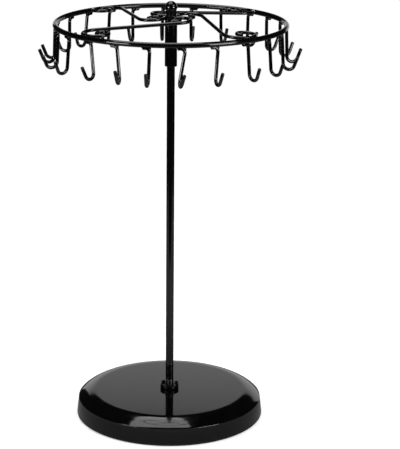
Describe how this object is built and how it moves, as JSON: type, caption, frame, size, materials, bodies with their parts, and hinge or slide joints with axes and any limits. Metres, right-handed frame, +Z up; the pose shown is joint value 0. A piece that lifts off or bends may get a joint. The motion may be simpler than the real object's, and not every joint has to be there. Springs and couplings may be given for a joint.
{
  "type": "necklace carousel",
  "caption": "Free-standing jewelry holder: a round weighted base, an upright rod and a ring of wire hooks that turns on scroll arms.",
  "frame": {"origin": "centre of the base where it rests on the table", "axes": "+Z up along the rod; -Y is the side that the picture shows, +X is its right"},
  "size_m": [0.2065, 0.2063, 0.3409],
  "materials": {
    "gloss_black": "gloss",
    "plated_steel": "satin",
    "ball_steel": "polished",
    "ballast_iron": "rough",
    "base_board": "matte",
    "foam_pad": "matte",
    "nylon": "matte"
  },
  "bodies": {
    "stand": {"base_shell": "gloss_black", "ballast_disc": "ballast_iron", "bottom_cover": "base_board", "base_pad": "foam_pad", "foot_washer": "plated_steel", "lock_washer": "plated_steel", "foot_nut": "plated_steel", "top_washer": "gloss_black", "wing_nut": "gloss_black", "pole": "gloss_black", "pivot_ball": "ball_steel"},
    "carousel": {"hub_sleeve": "gloss_black", "lower_bush": "nylon", "upper_bush": "nylon", "sleeve_plug": "plated_steel", "finial_stud": "plated_steel", "finial": "gloss_black", "ring": "gloss_black", "scroll_arm_1": "gloss_black", "scroll_arm_2": "gloss_black", "scroll_arm_3": "gloss_black", "scroll_arm_4": "gloss_black", "hook_01": "gloss_black", "hook_02": "gloss_black", "hook_03": "gloss_black", "hook_04": "gloss_black", "hook_05": "gloss_black", "hook_06": "gloss_black", "hook_07": "gloss_black", "hook_08": "gloss_black", "hook_09": "gloss_black", "hook_10": "gloss_black", "hook_11": "gloss_black", "hook_12": "gloss_black", "hook_13": "gloss_black", "hook_14": "gloss_black", "hook_15": "gloss_black", "hook_16": "gloss_black", "hook_17": "gloss_black", "hook_18": "gloss_black", "hook_19": "gloss_black", "hook_20": "gloss_black", "hook_21": "gloss_black", "hook_22": "gloss_black", "hook_23": "gloss_black"}
  },
  "joints": [
    {"name": "carousel_spin", "type": "hinge", "parent": "stand", "child": "carousel", "pos_m": [0, 0, 0.32187], "axis": [0, 0, 1], "continuous": true}
  ]
}
